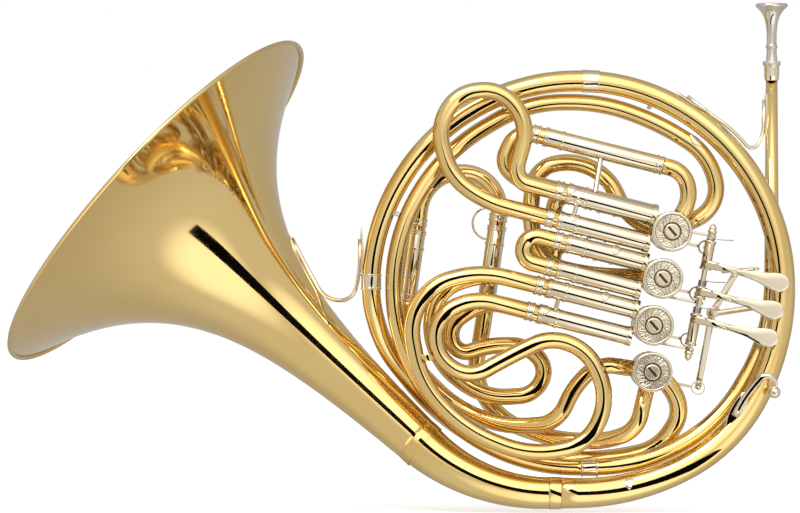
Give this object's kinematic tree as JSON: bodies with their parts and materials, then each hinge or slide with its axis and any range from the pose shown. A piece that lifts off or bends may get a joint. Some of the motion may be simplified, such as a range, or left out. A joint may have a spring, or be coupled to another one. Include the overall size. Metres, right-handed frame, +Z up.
{
  "type": "french horn",
  "caption": "Double french horn with a flared bell, coiled conical tubing, rotary valves, finger and thumb levers, pull-out tuning slides and a separate mouthpiece.",
  "frame": {"origin": "centre of the ring made by the coiled tubing, in the plane of the big branch (mount body_ring)", "axes": "+X to the player's side where the mouthpiece is, +Y from the valve caps to the back of the horn, +Z up towards the mouthpiece rim; the horn is in its playing attitude"},
  "size_m": [0.5635, 0.3013, 0.3621],
  "materials": {
    "lacquered_brass": "clear-lacquered yellow brass, polished",
    "nickel_silver": "lacquered nickel silver, polished",
    "rotor_brass": "lapped bearing brass",
    "cork": "neoprene bumper",
    "spring_steel": "drawn wire"
  },
  "bodies": {
    "horn": {"back_plates": "nickel_silver", "bell_brace": "nickel_silver", "bell_branch": "lacquered_brass", "bell_flare": "lacquered_brass", "bell_rim_wire": "lacquered_brass", "branch_ferrules": "nickel_silver", "cork_bumpers": "cork", "cross_loop": "lacquered_brass", "feed_branch": "lacquered_brass", "finger_hook": "nickel_silver", "leadpipe": "nickel_silver", "leadpipe_brace": "nickel_silver", "lever_bracket": "nickel_silver", "lever_hinge_rod": "nickel_silver", "lever_springs": "spring_steel", "main_slide_bend": "lacquered_brass", "mouthpiece_receiver": "nickel_silver", "outer_branch": "lacquered_brass", "return_branch": "lacquered_brass", "rotor_casings": "nickel_silver", "sleeve_rings": "nickel_silver", "slide_sleeves": "nickel_silver", "thumb_pivot": "nickel_silver", "tube_posts": "nickel_silver", "tuning_tail_left": "lacquered_brass", "tuning_tail_right": "lacquered_brass", "valve_caps": "nickel_silver"},
    "mouthpiece": {"mouthpiece": "nickel_silver"},
    "main_slide": {"main_slide": "lacquered_brass", "main_slide_ferrules": "nickel_silver"},
    "valve_slide_1": {"valve_slide_1": "lacquered_brass", "valve_slide_1_ferrules": "nickel_silver"},
    "valve_slide_2": {"valve_slide_2": "lacquered_brass", "valve_slide_2_ferrules": "nickel_silver"},
    "valve_slide_3": {"valve_slide_3": "lacquered_brass", "valve_slide_3_ferrules": "nickel_silver"},
    "back_slide_1": {"back_slide_1": "lacquered_brass"},
    "back_slide_2": {"back_slide_2": "lacquered_brass"},
    "back_slide_3": {"back_slide_3": "lacquered_brass"},
    "tuning_slide": {"tuning_slide": "lacquered_brass", "tuning_slide_ferrules": "nickel_silver", "pull_ring": "nickel_silver"},
    "rotor_1": {"rotor_1": "rotor_brass", "stop_arm_1": "nickel_silver"},
    "link_1": {"link_1": "nickel_silver"},
    "rotor_2": {"rotor_2": "rotor_brass", "stop_arm_2": "nickel_silver"},
    "link_2": {"link_2": "nickel_silver"},
    "rotor_3": {"rotor_3": "rotor_brass", "stop_arm_3": "nickel_silver"},
    "link_3": {"link_3": "nickel_silver"},
    "rotor_4": {"rotor_4": "rotor_brass", "stop_arm_4": "nickel_silver"},
    "link_4": {"link_4": "nickel_silver"},
    "finger_lever_1": {"finger_lever_1": "nickel_silver"},
    "finger_lever_2": {"finger_lever_2": "nickel_silver"},
    "finger_lever_3": {"finger_lever_3": "nickel_silver"},
    "thumb_lever": {"thumb_lever": "nickel_silver"}
  },
  "joints": [
    {"name": "mouthpiece_pull", "type": "slide", "parent": "horn", "child": "mouthpiece", "axis": [0, 0, 1], "range_m": [0, 0.03]},
    {"name": "main_slide_pull", "type": "slide", "parent": "horn", "child": "main_slide", "axis": [-0.9707, 0, 0.2402], "range_m": [0, 0.03]},
    {"name": "valve_slide_1_pull", "type": "slide", "parent": "horn", "child": "valve_slide_1", "axis": [-0.9707, 0, 0.2402], "range_m": [0, 0.03]},
    {"name": "valve_slide_2_pull", "type": "slide", "parent": "horn", "child": "valve_slide_2", "axis": [-0.9707, 0, 0.2402], "range_m": [0, 0.03]},
    {"name": "valve_slide_3_pull", "type": "slide", "parent": "horn", "child": "valve_slide_3", "axis": [-0.9707, 0, 0.2402], "range_m": [0, 0.02]},
    {"name": "back_slide_1_pull", "type": "slide", "parent": "horn", "child": "back_slide_1", "axis": [-0.9707, 0, 0.2402], "range_m": [0, 0.014]},
    {"name": "back_slide_2_pull", "type": "slide", "parent": "horn", "child": "back_slide_2", "axis": [-0.9707, 0, 0.2402], "range_m": [0, 0.014]},
    {"name": "back_slide_3_pull", "type": "slide", "parent": "horn", "child": "back_slide_3", "axis": [-0.9707, 0, 0.2402], "range_m": [0, 0.014]},
    {"name": "tuning_slide_pull", "type": "slide", "parent": "horn", "child": "tuning_slide", "axis": [0.139, 0, 0.9903], "range_m": [0, 0.03]},
    {"name": "lever_1_press", "type": "hinge", "parent": "horn", "child": "finger_lever_1", "pos_m": [0.08847, -0.0131, 0.00047], "axis": [0.1908, 0, 0.9816], "range_deg": [0, 12], "stiffness_Nm_per_rad": 0.4, "springref_deg": -6.88},
    {"name": "lever_2_press", "type": "hinge", "parent": "horn", "child": "finger_lever_2", "pos_m": [0.08847, -0.0131, 0.00047], "axis": [0.1908, 0, 0.9816], "range_deg": [0, 12], "stiffness_Nm_per_rad": 0.4, "springref_deg": -6.88},
    {"name": "lever_3_press", "type": "hinge", "parent": "horn", "child": "finger_lever_3", "pos_m": [0.08847, -0.0131, 0.00047], "axis": [0.1908, 0, 0.9816], "range_deg": [0, 12], "stiffness_Nm_per_rad": 0.4, "springref_deg": -6.88},
    {"name": "thumb_press", "type": "hinge", "parent": "horn", "child": "thumb_lever", "pos_m": [0.09924, 0.042, -0.01914], "axis": [0, 1, 0], "range_deg": [0, 12], "stiffness_Nm_per_rad": 0.4, "springref_deg": -6.88},
    {"name": "rotor_1_turn", "type": "hinge", "parent": "horn", "child": "rotor_1", "pos_m": [0.06649, 0, 0.03938], "axis": [0, 1, 0], "range_deg": [0, 90]},
    {"name": "link_1_swing", "type": "hinge", "parent": "rotor_1", "child": "link_1", "pos_m": [0.07102, 0.042, 0.03266], "axis": [0, 1, 0], "range_deg": [-90, 0]},
    {"name": "rotor_2_turn", "type": "hinge", "parent": "horn", "child": "rotor_2", "pos_m": [0.06, 0, 0.006], "axis": [0, 1, 0], "range_deg": [0, 90]},
    {"name": "link_2_swing", "type": "hinge", "parent": "rotor_2", "child": "link_2", "pos_m": [0.06453, 0.042, -0.00072], "axis": [0, 1, 0], "range_deg": [-90, 0]},
    {"name": "rotor_3_turn", "type": "hinge", "parent": "horn", "child": "rotor_3", "pos_m": [0.05351, 0, -0.02738], "axis": [0, 1, 0], "range_deg": [0, 90]},
    {"name": "link_3_swing", "type": "hinge", "parent": "rotor_3", "child": "link_3", "pos_m": [0.05804, 0.042, -0.03409], "axis": [0, 1, 0], "range_deg": [-90, 0]},
    {"name": "rotor_4_turn", "type": "hinge", "parent": "horn", "child": "rotor_4", "pos_m": [0.05251, 0, -0.06035], "axis": [0, 1, 0], "range_deg": [0, 90]},
    {"name": "link_4_swing", "type": "hinge", "parent": "rotor_4", "child": "link_4", "pos_m": [0.05704, 0.042, -0.06707], "axis": [0, 1, 0], "range_deg": [-90, 0]}
  ],
  "couplings": [
    {"joint": "rotor_1_turn", "follows": "lever_1_press", "ratio": 7.5},
    {"joint": "link_1_swing", "follows": "lever_1_press", "ratio": -7.5},
    {"joint": "rotor_2_turn", "follows": "lever_2_press", "ratio": 7.5},
    {"joint": "link_2_swing", "follows": "lever_2_press", "ratio": -7.5},
    {"joint": "rotor_3_turn", "follows": "lever_3_press", "ratio": 7.5},
    {"joint": "link_3_swing", "follows": "lever_3_press", "ratio": -7.5},
    {"joint": "rotor_4_turn", "follows": "thumb_press", "ratio": 7.5},
    {"joint": "link_4_swing", "follows": "thumb_press", "ratio": -7.5}
  ]
}
